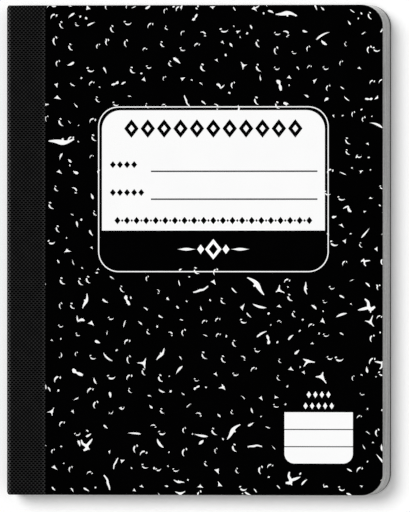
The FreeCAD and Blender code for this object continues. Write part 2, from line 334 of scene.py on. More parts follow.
def makeShadedCutEdge():
    material, tree, shader = newMaterial("shadedSheetEdge")
    place = ownPlace(tree)
    bundles = noise(tree, stretched(tree, place, shadedCutEdge["stretch"]), shadedCutEdge["bundleScale"])
    fuzz = noise(tree, place, shadedCutEdge["fuzzScale"])
    shade = blendNoise(tree, bundles, fuzz, shadedCutEdge["bundleShare"])
    colour = shaded(tree, shade, shadedCutEdge["dark"], shadedCutEdge["pale"])
    setSurface(tree, shader, colour, fuzz, shade, shadedCutEdge)
    return material


ruledPaper = makeRuledPaper()
shadedSheetEdge = makeShadedCutEdge()

# Book cloth: a fine diagonal net of threads with a hollow in each mesh, its near-black colour painted shade
cloth = {
    "netAcross": 0.00197,  # pitch of the hollows across the tape
    "netAlong": 0.002,  # pitch along the spine, every second row
    "hollow": -0.75,  # level of the net where a hollow begins
    "soft": 0.24,  # and its painted shade is full this much further up
    "flat": 0.95,  # more of it makes the hollows flatter
    "thread": (0.023, 0.023, 0.023, 1),
    "threadDark": (0.0145, 0.0145, 0.015, 1),
    "threadHighlight": (0.105, 0.105, 0.106, 1),  # painted highlight on the fold of the spine, lighter thread where light catches the rounding
    "threadEdge": (0.042, 0.042, 0.042, 1),  # glazed strip along the tape's edges
    # painted shade: near-black colour in the hollows, for the shade that falls in them
    "pitShade": (0.0006, 0.0006, 0.0006, 1),
    "highlightAt": 0.0188,  # along the wrap, from the front edge of the tape
    "highlightReach": 0.0016,
    "edgeReach": 0.0018,
    "fuzzScale": 3800.0,
    "fuzzShare": 0.5,
    "unevenScale": 160.0,
    "fray": 0.5,  # how far the fuzz shifts the rim of a hollow
    "fuzzRise": 0.25,
    "roughness": (0.68, 0.95),
    "specular": 0.008,
    "bump": (0.55, 0.00012),
}


def makeCloth(wrapLength):
    material, tree, shader = newMaterial("spineCloth")
    wrap = addNode(tree, "ShaderNodeUVMap", uv_map="wrap").outputs[0]
    parts = addNode(tree, "ShaderNodeSeparateXYZ", {0: wrap})
    turn = 2 * math.pi
    across = maths(tree, "COSINE", times(tree, parts.outputs["X"], turn / cloth["netAcross"]))
    along = maths(tree, "COSINE", times(tree, parts.outputs["Y"], turn / cloth["netAlong"]))
    net = times(tree, across, along)
    offRow = minus(tree, 1.0, maths(tree, "ABSOLUTE", along))
    net = minus(tree, net, times(tree, offRow, cloth["flat"]))
    fuzz = noise(tree, wrap, cloth["fuzzScale"])
    uneven = noise(tree, wrap, cloth["unevenScale"])
    frayed = times(tree, minus(tree, fuzz, 0.5), cloth["fray"])
    level = maths(tree, "ADD", net, frayed)
    inPit = ramp(tree, level, 0, 1, cloth["hollow"], cloth["hollow"] + cloth["soft"])
    shade = blendNoise(tree, fuzz, uneven, cloth["fuzzShare"])
    thread = shaded(tree, shade, cloth["threadDark"], cloth["thread"])
    # painted highlight: the thread is lightened along the fold of the spine
    fromFold = maths(tree, "ABSOLUTE", minus(tree, parts.outputs["X"], cloth["highlightAt"]))
    paintedHighlight = ramp(tree, fromFold, 1, 0, 0, cloth["highlightReach"])
    thread = mixColours(tree, paintedHighlight, thread, cloth["threadHighlight"])
    fromFar = minus(tree, wrapLength, parts.outputs["X"])
    fromNear = maths(tree, "MINIMUM", parts.outputs["X"], fromFar)
    thread = mixColours(tree, ramp(tree, fromNear, 1, 0, 0, cloth["edgeReach"]), thread, cloth["threadEdge"])
    height = minus(tree, times(tree, fuzz, cloth["fuzzRise"]), inPit)
    # painted shade: the hollows take the near-black colour; the same mask sets their roughness and dip
    setSurface(tree, shader, mixColours(tree, inPit, thread, cloth["pitShade"]), inPit, height, cloth)
    return material


# Sewing thread: slanting bands of its twist
yarn = {
    "dark": (0.62, 0.61, 0.58, 1),
    "pale": (0.86, 0.855, 0.83, 1),
    "twistScale": 900.0,
    "twistWander": 1.5,
    "roughness": 0.85,
    "bump": (0.6, 0.0001),
}


def makeThread():
    material, tree, shader = newMaterial("sewingThread")
    inputs = {"Vector": ownPlace(tree), "Scale": yarn["twistScale"], "Distortion": yarn["twistWander"]}
    wave = addNode(tree, "ShaderNodeTexWave", inputs, bands_direction="DIAGONAL")
    twist = wave.outputs["Fac"]
    colour = mixColours(tree, twist, yarn["dark"], yarn["pale"])
    tree.links.new(colour, shader.inputs["Base Color"])
    shader.inputs["Roughness"].default_value = yarn["roughness"]
    addBump(tree, shader, twist, *yarn["bump"])
    return material


sewingThread = makeThread()
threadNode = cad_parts["binding_thread"]
threadNode.data.materials.clear()
threadNode.data.materials.append(sewingThread)
print("materials made")


# Flat outlines, as lists of (x, y), anticlockwise

def arcPoints(centreX, centreY, radius, start, end, steps):
    points = []
    for i in range(steps + 1):
        angle = math.radians(start + (end - start) * i / steps)
        points.append((centreX + radius * math.cos(angle), centreY + radius * math.sin(angle)))
    return points


def roundedLoop(left, bottom, right, high, radii, steps=14):
    # radii: bottom left, bottom right, top right, top left
    corners = [(left, bottom, 180), (right, bottom, 270), (right, high, 0), (left, high, 90)]
    points = []
    for (x, y, start), radius in zip(corners, radii):
        if radius == 0:
            points.append((x, y))
            continue
        centreX = x + radius if x == left else x - radius
        centreY = y + radius if y == bottom else y - radius
        points += arcPoints(centreX, centreY, radius, start, start + 90, steps)
    return points


def rectangleLoop(left, bottom, right, high):
    return [(left, bottom), (right, bottom), (right, high), (left, high)]


def lozenge(x, y, halfWidth, halfHeight):
    return [(x - halfWidth, y), (x, y - halfHeight), (x + halfWidth, y), (x, y + halfHeight)]


def dotLoop(x, y, radius, flat=1.0, steps=8):
    points = []
    for i in range(steps):
        angle = 2 * math.pi * i / steps
        points.append((x + radius * math.cos(angle), y + radius * flat * math.sin(angle)))
    return points


def swelledRule(x, y, halfLength, halfHeight, steps=10, taper=1.5):
    # a rule that is thickest in the middle and runs out to points
    under = []
    over = []
    for i in range(1, steps):
        t = i / steps
        lift = halfHeight * math.sin(math.pi * t) ** taper
        under.append((x - halfLength + 2 * halfLength * t, y - lift))
        over.append((x + halfLength - 2 * halfLength * t, y + lift))
    return [(x - halfLength, y)] + under + [(x + halfLength, y)] + over


# Marbling: one fleck in each cell of a loose grid, in the places that the solids have
marbling = {
    "pitch": 0.0092,
    "length": 0.0036,
    "small": 0.86,  # length of curls, leaves and chips, in shares of the mark in the solids
    "splashSizes": (0.7, 0.95, 0.95, 1.2),
    "leafSplash": 0.15,  # share of the leaves that are splashes
    "margin": 0.0008,
    "stray": 0.36,
    "reach": (0.65, 1.2),  # shortest and longest, in lengths
    "shares": {"curl": 0.42, "leaf": 0.34, "chip": 0.14, "splash": 0.05, "streak": 0.05},
    "frontSeed": 7,
    "backSeed": 11,
    "tidy": 0.85,  # share that lies one of these ways, in degrees
    "turns": {"curl": [0, -50, -90, -130], "leaf": [-20, -35, -50, -70, 35], "chip": [-30, -50, 40]},
    "sway": 12,  # degrees either way
    "labelRim": 0.0014,
    "moteShare": 0.26,  # of the cells, with a small speck as well
    "cutShares": {"tape": 0.5, "fore": 0.15, "ends": 0.55},  # of the cells there, with a mark cut through
    "underTape": 0.0005,  # middles of those marks
    "pastFore": 0.0003,
    "cutStray": 0.001,
}
# Shapes of the marks in lengths of a fleck. Pairs are ranges, but offset and armSide give places.
# Angles are in radians
curl = {"bend": (1.5, 2.1), "reach": (1.0, 1.2), "width": (0.18, 0.25), "fatAt": 0.3}
curlDot = {"radius": (0.15, 0.19), "flat": 0.58, "turn": (0.2, 0.6), "offset": (-0.02, 0.26)}
leaf = {
    "bend": (-0.9, 0.9),
    "widths": (0.18, 0.24, 0.3, 0.38),
    "reach": (0.75, 1.3),
    "fatAt": (0.3, 0.36, 0.5, 0.66),
}
chip = {"width": (0.42, 0.62), "reach": (0.52, 0.88), "lean": (-0.4, 0.4), "hollow": 0.84}
streak = {"width": (0.24, 0.34), "bend": (-1.0, 1.0), "reach": (1.6, 2.3), "fatAt": (0.34, 0.5, 0.62)}
star = {
    "share": 0.25,  # of the splashes
    "arms": 3,
    "apart": 2.1,
    "stray": (-0.4, 0.4),
    "reach": (0.55, 1.1),
    "hollow": (0.2, 0.28),
    "armWidth": (0.16, 0.24),
    "armSide": [(0.5, -1.0), (0.94, -0.55), (1.0, 0.2), (0.88, 0.6), (0.45, 1.0)],
}
# A small speck beside a fleck: size in metres, away in cells
mote = {"size": 0.0011, "range": (0.7, 1.3), "flat": (0.5, 0.8), "turn": (0, 3), "away": 0.5}


def stroke(length, bend, width, fatAt=0.5, steps=9, taper=0.75):
    # one tapered brush mark along an arc, centred on its middle
    centre = []
    x = 0.0
    y = 0.0
    for i in range(steps + 1):
        heading = bend * (i / steps - 0.5)
        centre.append((x, y, heading))
        x += length / steps * math.cos(heading + bend / steps / 2)
        y += length / steps * math.sin(heading + bend / steps / 2)
    middleX = sum(c[0] for c in centre) / len(centre)
    middleY = sum(c[1] for c in centre) / len(centre)
    under = []
    over = []
    for i in range(1, steps):
        t = i / steps
        t = t ** (math.log(0.5) / math.log(fatAt))
        half = width / 2 * math.sin(math.pi * t) ** taper
        cx, cy, heading = centre[i]
        under.append((cx + half * math.sin(heading) - middleX, cy - half * math.cos(heading) - middleY))
        over.append((cx - half * math.sin(heading) - middleX, cy + half * math.cos(heading) - middleY))
    start = (centre[0][0] - middleX, centre[0][1] - middleY)
    end = (centre[-1][0] - middleX, centre[-1][1] - middleY)
    return [start] + under + [end] + over[::-1]


def laid(points, angle, x, y):
    c = math.cos(angle)
    s = math.sin(angle)
    return [(x + u * c - v * s, y + u * s + v * c) for u, v in points]


def curlFleck(length, rng):
    # a comma open at the top, with its dot beside the blunt end
    bend = rng.uniform(*curl["bend"])
    reach = length * rng.uniform(*curl["reach"])
    comma = stroke(reach, bend, length * rng.uniform(*curl["width"]), curl["fatAt"])
    startX, startY = comma[0]
    dot = dotLoop(0, 0, length * rng.uniform(*curlDot["radius"]), curlDot["flat"])
    besideX, besideY = curlDot["offset"]
    turn = rng.uniform(*curlDot["turn"])
    return [comma, laid(dot, turn, startX + besideX * length, startY + besideY * length)]


def leafFleck(length, rng):
    bend = rng.uniform(*leaf["bend"])
    width = length * rng.choice(leaf["widths"])
    return [stroke(length * rng.uniform(*leaf["reach"]), bend, width, rng.choice(leaf["fatAt"]))]


def chipFleck(length, rng):
    # a small three-cornered chip with slightly hollow sides
    wide = length * rng.uniform(*chip["width"])
    reach = length * rng.uniform(*chip["reach"])
    lean = rng.uniform(*chip["lean"])
    corners = [(-0.5 * reach, -0.45 * wide), (0.6 * reach, lean * wide), (-0.3 * reach, 0.6 * wide)]
    inwards = chip["hollow"] / 2
    points = []
    for (x, y), (nextX, nextY) in zip(corners, corners[1:] + corners[:1]):
        points += [(x, y), (inwards * (x + nextX), inwards * (y + nextY))]
    return [points]


def starLoop(tips, hollow, armWidth):
    # pointed arms with hollow sides; tips are (angle, reach), anticlockwise
    points = []
    for i, (angle, reach) in enumerate(tips):
        before = tips[i - 1][0] - (2 * math.pi if i == 0 else 0)
        notch = (angle + before) / 2
        points.append((hollow * math.cos(notch), hollow * math.sin(notch)))
        for along, across in star["armSide"]:
            x = reach * along
            y = armWidth / 2 * across
            points.append((
                x * math.cos(angle) - y * math.sin(angle),
                x * math.sin(angle) + y * math.cos(angle),
            ))
    return points


# Splashes: limbs as centre lines of (x, y, width), in lengths of a fleck
splashes = {
    "bolt": [
        [(-1.05, 0.6, 0.14), (-0.75, 0.3, 0.24), (-0.2, -0.05, 0.32), (0.2, -0.42, 0.26), (1.0, -0.66, 0.18)],
    ],
    "vee": [
        [(-0.85, 0.05, 0.06), (-0.35, -0.3, 0.26), (0.08, -0.5, 0.16)],
        [(0.02, -0.55, 0.12), (0.1, -0.1, 0.34), (0.3, 0.25, 0.46), (0.68, 0.42, 0.2)],
    ],
    "tailed": [
        [(-1.1, 0.75, 0.1), (-0.6, 0.35, 0.32), (0.0, 0.0, 0.52), (0.4, -0.35, 0.36), (0.8, -1.1, 0.12)],
        [(0.05, -0.1, 0.34), (-0.15, -0.42, 0.16)],
    ],
    "waisted": [
        [(-0.5, 0.4, 0.24), (-0.15, 0.12, 0.4), (0.15, -0.15, 0.2), (0.36, -0.42, 0.5), (0.42, -0.75, 0.18)],
    ],
    "crossed": [
        [(-0.8, 0.72, 0.16), (-0.3, 0.55, 0.28), (0.0, 0.1, 0.36), (0.34, -0.06, 0.44), (0.66, 0.42, 0.2)],
        [(-0.95, -0.8, 0.08), (-0.5, -0.45, 0.3), (0.1, 0.05, 0.34)],
        [(0.3, 0.0, 0.34), (0.5, -0.42, 0.1)],
    ],
}


def ribbon(stations, steps=4):
    # outline of one limb, smooth between its stations and cut blunt at the ends
    last = len(stations) - 1
    centre = []
    for i in range(last):
        around = (stations[max(i - 1, 0)], stations[i], stations[i + 1], stations[min(i + 2, last)])
        for step in range(steps):
            t = step / steps
            centre.append([
                b + 0.5 * t * (c - a + t * (2 * a - 5 * b + 4 * c - d + t * (3 * b - a - 3 * c + d)))
                for a, b, c, d in zip(*around)
            ])
    centre.append(stations[-1])
    under = []
    over = []
    for i, (x, y, width) in enumerate(centre):
        before = centre[max(i - 1, 0)]
        after = centre[min(i + 1, len(centre) - 1)]
        heading = math.atan2(after[1] - before[1], after[0] - before[0])
        acrossX = width / 2 * math.sin(heading)
        acrossY = width / 2 * math.cos(heading)
        under.append((x + acrossX, y - acrossY))
        over.append((x - acrossX, y + acrossY))
    return under + over[::-1]


def splashFleck(length, rng):
    # a small star with uneven arms, or one of the splashes, either way round
    if rng.random() < star["share"]:
        tips = []
        for i in range(star["arms"]):
            angle = star["apart"] * i + rng.uniform(*star["stray"])
            tips.append((angle, length * rng.uniform(*star["reach"])))
        hollow = length * rng.uniform(*star["hollow"])
        return [starLoop(tips, hollow, length * rng.uniform(*star["armWidth"]))]
    size = length * rng.choice(marbling["splashSizes"])
    flip = rng.choice((-1, 1))
    limbs = splashes[rng.choice(sorted(splashes))]
    return [ribbon([(size * x, size * flip * y, size * width) for x, y, width in limb]) for limb in limbs]


def streakFleck(length, rng):
    width = length * rng.uniform(*streak["width"])
    bend = rng.uniform(*streak["bend"])
    return [stroke(length * rng.uniform(*streak["reach"]), bend, width, rng.choice(streak["fatAt"]))]


fleckMakers = {
    "curl": curlFleck,
    "leaf": leafFleck,
    "chip": chipFleck,
    "splash": splashFleck,
    "streak": streakFleck,
}


def pickKind(draw):
    for kind, share in marbling["shares"].items():
        if draw < share:
            return kind
        draw -= share
    return "leaf"


def fleckTurn(kind, angle, details):
    # curls, leaves and chips mostly lie one of a few ways, as in a pattern that repeats
    turns = marbling["turns"].get(kind)
    if not turns or details.random() > marbling["tidy"]:
        return angle
    turn = turns[int(angle / (2 * math.pi) * len(turns))]
    return math.radians(turn + details.uniform(-marbling["sway"], marbling["sway"]))


def fleckAt(x, y, places, details):
    # places repeats the draws behind the solids, details shapes each mark
    kind = pickKind(places.random())
    length = marbling["length"] * places.uniform(*marbling["reach"])
    angle = fleckTurn(kind, places.uniform(0, 2 * math.pi), details)
    if kind == "leaf" and details.random() < marbling["leafSplash"]:
        kind = "splash"
    elif kind in marbling["turns"]:
        length *= marbling["small"]
    return [laid(part, angle, x, y) for part in fleckMakers[kind](length, details)]


def fromEdge(x, y, left, bottom, right, high):
    # distance of a point from a rectangle's outline, less than 0 inside
    outX = max(left - x, x - right)
    outY = max(bottom - y, y - high)
    return max(outX, outY)


def fleckField(x, y):
    # flecks run over the label's outline, and keep out of its fields, the sample and the rows above it
    labelLeft = labelLow.x
    labelTop = labelHigh.y - label["drop"]
    off = fromEdge(x, y, labelLeft, labelTop - label["height"], labelLeft + label["width"], labelTop)
    sampleLeft = labelHigh.x - label["sampleWidth"]
    sampleLow = labelLow.y + label["sampleRise"]
    sampleHigh = sampleLow + label["sampleHeight"] + label["rowsHeight"]
    offSample = fromEdge(x, y, sampleLeft, sampleLow, labelHigh.x, sampleHigh)
    if off < -marbling["labelRim"] or offSample < marbling["labelRim"]:
        return "none"
    return "over" if off < marbling["labelRim"] else "under"


def moteBeside(x, y, details):
    away = marbling["pitch"] * mote["away"]
    size = mote["size"] * details.uniform(*mote["range"])
    speck = dotLoop(0, 0, size / 2, details.uniform(*mote["flat"]), 6)
    return laid(speck, details.uniform(*mote["turn"]), x + away, y + details.uniform(-away, away))


def makeFlecks(tapeEdge, fore, seed, hasLabel):
    places = random.Random(seed)
    details = random.Random(seed + 100)
    border = random.Random(seed + 200)
    pitch = marbling["pitch"]
    left = tapeEdge + marbling["margin"]
    bottom = -head + marbling["margin"]
    columns = math.ceil((fore - marbling["margin"] - left) / pitch)
    rows = math.ceil((head - marbling["margin"] - bottom) / pitch)
    flecks = []
    overLabel = []
    for row in range(rows):
        for column in range(columns):
            x = left + (column + 0.5 + places.uniform(-marbling["stray"], marbling["stray"])) * pitch
            y = bottom + (row + 0.5 + places.uniform(-marbling["stray"], marbling["stray"])) * pitch
            marks = fleckAt(x, y, places, details)
            if details.random() < marbling["moteShare"]:
                marks.append(moteBeside(x, y, details))
            field = fleckField(x, y) if hasLabel else "under"
            if field == "over":
                overLabel += marks
            elif field == "under":
                flecks += marks
    # marks that the tape and the trimmed edges cut through
    shares = marbling["cutShares"]
    astray = marbling["cutStray"]
    underTape = tapeEdge - marbling["underTape"]
    pastFore = fore + marbling["pastFore"]
    for row in range(rows):
        for x, share in ((underTape, shares["tape"]), (pastFore, shares["fore"])):
            if border.random() < share:
                y = bottom + (row + border.random()) * pitch
                flecks += fleckAt(x + border.uniform(-astray, astray), y, border, border)
    for column in range(columns):
        for y in (-head, head):
            if border.random() < shares["ends"]:
                x = left + (column + border.random()) * pitch
                flecks += fleckAt(x, y + border.uniform(-astray, astray), border, border)
    return [(points, "white") for points in flecks], [(points, "white") for points in overLabel]


# Label and ruling sample. Offsets are from the label's left and top edges
label = {
    "width": 0.1168,
    "drop": 0.0005,  # its top lies this far below that of the solid
    "height": 0.0838,
    "radius": 0.0104,
    "line": 0.00056,
    "gap": 0.00139,
    "panelHeight": 0.0608,
    "panelRadius": 0.0094,
    "rules": [0.03244, 0.04653],  # write-on lines, down from the top
    "ruleLeft": 0.0268,
    "ruleLength": 0.0843,
    "ruleWidth": 0.00076,
    "sampleRise": 0.0008,  # its foot lies this far above that of the solid
    "sampleWidth": 0.0346,
    "sampleHeight": 0.0259,
    "sampleRadius": 0.005,
    "sampleRule": 0.00054,
    "rowsHeight": 0.0125,  # of the ornament above the sample
}
# Plain printer's ornaments. A Half is half the width and height of a lozenge
ornament = {
    "headDrop": 0.0112,
    "headPitch": 0.0083,
    "headCount": 11,
    "headHalf": (0.0037, 0.0047),
    "headHollow": 0.4,  # white middle, in shares of its lozenge
    "headSlit": (0.16, 0.9),  # white slit between two lozenges, in shares of one
    "bulletLeft": 0.0075,
    "bulletRise": 0.003,  # above the write-on line
    "bulletPitch": 0.0036,
    "bulletHalf": (0.0015, 0.0018),
    "bullets": [4, 5],
    "dottedDrop": 0.0577,
    "dottedCount": 41,
    "dottedPitch": 0.00243,
    "dottedSizes": (0.0019, 0.0008),  # in turn
    "dottedFlat": 0.8,
    "footDrop": 0.0722,
    "footHalf": (0.0042, 0.0052),
    "footHollow": (0.0022, 0.0028),
    "footBeside": 0.0064,
    "footBesideHalf": (0.0018, 0.0024),
    "footRule": 0.0136,
    "footRuleHalf": (0.0046, 0.0007),
    "sampleRows": [(0.0089, 4), (0.0032, 5)],  # height above the ruling sample, count
    "samplePitch": 0.0033,
    "sampleHalf": (0.0011, 0.0017),
}


def lozengeRow(middle, y, count, pitch, halfWidth, halfHeight, ink):
    return [
        (lozenge(middle + (i - (count - 1) / 2) * pitch, y, halfWidth, halfHeight), ink)
        for i in range(count)
    ]


def makeLabel():
    left = labelLow.x
    right = left + label["width"]
    high = labelHigh.y - label["drop"]
    low = high - label["height"]
    line = label["line"]
    both = label["line"] + label["gap"]
    inner = label["radius"] - line
    panelRadius = label["panelRadius"]
    middle = (left + right) / 2
    panelLow = high - both - label["panelHeight"]
    panelRadii = [0, 0, panelRadius, panelRadius]
    layers = [
        (roundedLoop(left, low, right, high, [label["radius"]] * 4), "white"),
        (roundedLoop(left + line, low + line, right - line, high - line, [inner] * 4), "black"),
        (roundedLoop(left + both, panelLow, right - both, high - both, panelRadii), "white"),
    ]
    for drop in label["rules"]:
        ruleLeft = left + label["ruleLeft"]
        ruleTop = high - drop
        rule = rectangleLoop(ruleLeft, ruleTop - label["ruleWidth"], ruleLeft + label["ruleLength"], ruleTop)
        layers.append((rule, "grey"))
    for drop, count in zip(label["rules"], ornament["bullets"]):
        pitch = ornament["bulletPitch"]
        middleX = left + ornament["bulletLeft"] + (count - 1) / 2 * pitch
        bulletY = high - drop + ornament["bulletRise"]
        layers += lozengeRow(middleX, bulletY, count, pitch, *ornament["bulletHalf"], "black")
    # a row of lozenges at the head
    headY = high - ornament["headDrop"]
    pitch = ornament["headPitch"]
    count = ornament["headCount"]
    wide, tall = ornament["headHalf"]
    hollow = ornament["headHollow"]
    slitWide, slitTall = ornament["headSlit"]
    layers += lozengeRow(middle, headY, count, pitch, wide, tall, "black")
    layers += lozengeRow(middle, headY, count, pitch, wide * hollow, tall * hollow, "white")
    layers += lozengeRow(middle, headY, count + 1, pitch, wide * slitWide, tall * slitTall, "white")
    # a dotted rule at the panel's foot
    for i in range(ornament["dottedCount"]):
        x = middle + (i - (ornament["dottedCount"] - 1) / 2) * ornament["dottedPitch"]
        size = ornament["dottedSizes"][i % 2]
        dot = lozenge(x, high - ornament["dottedDrop"], size * ornament["dottedFlat"], size)
        layers.append((dot, "black"))
    # white ornament in the dark foot of the label
    footY = high - ornament["footDrop"]
    layers.append((lozenge(middle, footY, *ornament["footHalf"]), "white"))
    layers.append((lozenge(middle, footY, *ornament["footHollow"]), "black"))
    for side in (-1, 1):
        besideX = middle + side * ornament["footBeside"]
        ruleX = middle + side * ornament["footRule"]
        layers.append((lozenge(besideX, footY, *ornament["footBesideHalf"]), "white"))
        layers.append((swelledRule(ruleX, footY, *ornament["footRuleHalf"]), "white"))
    return layers


def makeSample():
    right = labelHigh.x
    left = right - label["sampleWidth"]
    low = labelLow.y + label["sampleRise"]
    high = low + label["sampleHeight"]
    radius = label["sampleRadius"]
    layers = [(roundedLoop(left, low, right, high, [radius, radius, 0, 0]), "white")]
    for i in (1, 2):
        ruleTop = high - i * ruling["pitch"] + label["sampleRule"] / 2
        layers.append((rectangleLoop(left, ruleTop - label["sampleRule"], right, ruleTop), "grey"))
    # two rows of small lozenges above it
    middle = (left + right) / 2
    pitch = ornament["samplePitch"]
    for rise, count in ornament["sampleRows"]:
        layers += lozengeRow(middle, high + rise, count, pitch, *ornament["sampleHalf"], "white")
    return layers


# Boards: the printed face is cut into fields of ink, the rest closes the shell
board = {
    "bevel": 0.00016,
    "cornerSteps": 22,
    "darkLip": 0.0003,  # ink that has run round the cut edge
    "near": 1e-6,
    "weld": 1e-8,
}
inkSlots = {"black": 0, "white": 1, "grey": 2}
edgeSlot = 3
liningSlot = 4


def addObject(name, data):
    item = bpy.data.objects.new(name, data)
    bpy.context.scene.collection.objects.link(item)
    return item


def addPiece(name, mesh, materials):
    data = bpy.data.meshes.new(name)
    mesh.to_mesh(data)
    mesh.free()
    for material in materials:
        data.materials.append(material)
    return addObject(name, data)


def pushedOut(x, y, left, fore, distance):
    # a point of the printed face's outline, moved straight out of the board
    radius = book["cornerRadius"] - board["bevel"]
    centreX = fore - radius
    centreY = head - board["bevel"] - radius
    near = board["near"]
    if x > centreX + near and abs(y) > centreY + near:
        away = Vector((x - centreX, y - math.copysign(centreY, y))).normalized()
        return x + away.x * distance, y + away.y * distance
    if x > fore - near:
        return x + distance, y
    sideways = -distance if x < left + near else 0
    endways = distance if abs(y) > head - board["bevel"] - near else 0
    return x + sideways, y + math.copysign(1, y) * endways


def printFace(mesh, outline, layers, level):
    coords = []
    loops = []
    for points in [outline] + [points for points, ink in layers]:
        loops.append(list(range(len(coords), len(coords) + len(points))))
        coords += [Vector(point) for point in points]
    flat, _, triangles, _, _, origins = delaunay_2d_cdt(coords, [], loops, 1, board["weld"])
    corners = {}
    for triangle, origin in zip(triangles, origins):
        if 0 not in origin:
            continue
        for i in triangle:
            if i not in corners:
                corners[i] = mesh.verts.new((flat[i].x, flat[i].y, level))
        face = mesh.faces.new([corners[i] for i in triangle])
        uppermost = max(origin)
        face.material_index = inkSlots[layers[uppermost - 1][1]] if uppermost else inkSlots["black"]
        face.normal_update()
        if face.normal.z < 0:
            face.normal_flip()


def makeBoard(name, low, high, layers, printedUp, body, nodes):
    bevel = board["bevel"]
    left = low.x + bevel
    fore = high.x - bevel
    radius = book["cornerRadius"] - bevel
    radii = [0, radius, radius, 0]
    outline = roundedLoop(left, bevel - head, fore, head - bevel, radii, board["cornerSteps"])
    mesh = bmesh.new()
    printFace(mesh, outline, layers, high.z)
    following = {}
    for edge in mesh.edges:
        if edge.is_boundary:
            side = edge.link_loops[0]
            following[side.vert] = side.link_loop_next.vert
    upper = {vertex: vertex for vertex in following}
    rings = [(bevel, high.z - bevel), (bevel, low.z + bevel), (0, low.z), (-board["darkLip"], low.z)]
    for distance, level in rings:
        lower = {}
        for vertex in following:
            x, y = pushedOut(vertex.co.x, vertex.co.y, left, fore, distance)
            lower[vertex] = mesh.verts.new((x, y, level))
        for first, second in following.items():
            face = mesh.faces.new((upper[second], upper[first], lower[first], lower[second]))
            face.material_index = edgeSlot
        upper = lower
    vertex = next(iter(following))
    inside = []
    while len(inside) < len(following):
        inside.append(upper[vertex])
        vertex = following[vertex]
    mesh.faces.new(inside[::-1]).material_index = liningSlot
    if not printedUp:
        for vertex in mesh.verts:
            vertex.co.z = low.z + high.z - vertex.co.z
        bmesh.ops.reverse_faces(mesh, faces=mesh.faces)
    piece = addPiece(name, mesh, [blackPrint, whitePrint, greyPrint, boardEdge, boardLining])
    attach(piece, body)
    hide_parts(*nodes)


frontFlecks, overLabel = makeFlecks(frontTapeEdge, frontFore, marbling["frontSeed"], True)
frontLayers = frontFlecks + makeLabel() + overLabel + makeSample()
backLayers, _ = makeFlecks(backTapeEdge, backFore, marbling["backSeed"], False)
frontNodes = ["front_cover", "label_print", "marbling_front"]
backNodes = ["back_cover", "marbling_back"]
makeBoard("frontBoard", frontBoardLow, frontBoardHigh, frontLayers, True, "front", frontNodes)
makeBoard("backBoard", backBoardLow, backBoardHigh, backLayers, False, "back", backNodes)
print("boards made")


# Section of the book, as paths of (x, z) from the front fore edge round the spine

def spineLine(z):
    return frontSpine + slant * (top - z)


def roundCorner(before, corner, after, radius, steps):
    first = (Vector(before) - Vector(corner)).normalized()
    second = (Vector(after) - Vector(corner)).normalized()
    half = first.angle(second) / 2
    centre = Vector(corner) + (first + second).normalized() * radius / math.sin(half)
    arm = Vector(corner) + first * radius / math.tan(half) - centre
    sweep = math.pi - 2 * half
    points = []
    for i in range(steps + 1):
        turn = sweep * i / steps
        c = math.cos(turn)
        s = math.sin(turn)
        points.append((centre.x + arm.x * c - arm.y * s, centre.y + arm.x * s + arm.y * c))
    return points


def halfHeight(x, z, reach):
    # half the height of the book at one point of its section, less where the spine's ends are rounded
    radius = book["spineCorner"]
    inside = x - frontSide - slant * (top - z)
    if inside >= radius:
        return reach
    return reach - radius + math.sqrt(max(0, radius ** 2 - (radius - max(0, inside)) ** 2))


def pathLength(path):
    return sum(math.dist(point, following) for point, following in zip(path, path[1:]))


def addStrip(mesh, path, heights, thickness, uvStart=0.0, broadSlot=0):
    # a closed strip of paper or cloth, its outer side on the path
    wrap = mesh.loops.layers.uv.get("wrap") or mesh.loops.layers.uv.new("wrap")
    vectors = [Vector(point) for point in path]
    last = len(vectors) - 1
    rings = []
    place = {}
    length = 0.0
    for i, (x, z) in enumerate(vectors):
        along = vectors[min(i + 1, last)] - vectors[max(i - 1, 0)]
        inner = vectors[i] + Vector((-along.y, along.x)).normalized() * thickness
        y = heights[i]
        corners = [(x, -y, z), (x, y, z), (inner.x, y, inner.y), (inner.x, -y, inner.y)]
        rings.append([mesh.verts.new(corner) for corner in corners])
        if i:
            length += (vectors[i] - vectors[i - 1]).length
        for vertex in rings[-1]:
            place[vertex] = uvStart + length
    faces = [mesh.faces.new(rings[0][::-1]), mesh.faces.new(rings[-1])]
    for ring, following in zip(rings, rings[1:]):
        for side in range(4):
            other = (side + 1) % 4
            face = mesh.faces.new((ring[side], ring[other], following[other], following[side]))
            face.smooth = side in (0, 2)
            faces.append(face)
    for face in faces:
        face.material_index = broadSlot if face.smooth else 1
        for corner in face.loops:
            corner[wrap].uv = (place[corner.vert], corner.vert.co.y)
        if not face.smooth:  # cut edges stay crisp
            for edge in face.edges:
                edge.smooth = False


# The block: folded sheets nested in one another, each bent round the spine
sheets = {
    "count": 50,
    "thickness": 0.00006,
    "seed": 5,
    "uneven": 0.00007,  # how far the trimmed edges stray, always inwards
    "foldBefore": 0.00085,  # sheets leave the spine's full height this far before the crease
    "foldAfter": 0.00035,  # and reach the boards' inner faces this far past it
    "foldSteps": 7,
    "flatFrom": 0.0005,  # past the fold, from here on a sheet is flat
    "cornerSteps": 9,
    "bendSteps": 7,
    "leastBend": 0.0012,  # innermost sheets bend no tighter than this
    "roundest": 0.98,  # and no wider than this share of half their own height
    "highReach": 1.3,  # lengths of the two bends along the sheet, in radii, as the spine slants
    "lowReach": 0.77,
    "leastStep": 0.00002,  # between the fold and the bend
}
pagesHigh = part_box("page_block")[1]
tapeThickness = frontStripHigh.z - frontStripLow.z


def foldLevel(x, crease, spineLevel, mainLevel):
    start = crease - sheets["foldBefore"]
    t = (x - start) / (sheets["foldBefore"] + sheets["foldAfter"])
    t = min(1, max(0, t))
    return spineLevel + (mainLevel - spineLevel) * t * t * (3 - 2 * t)


def foreEdge(z):
    share = (z - backBoardHigh.z) / (frontBoardLow.z - backBoardHigh.z)
    return backFore + (frontFore - backFore) * share - book["pageInset"]


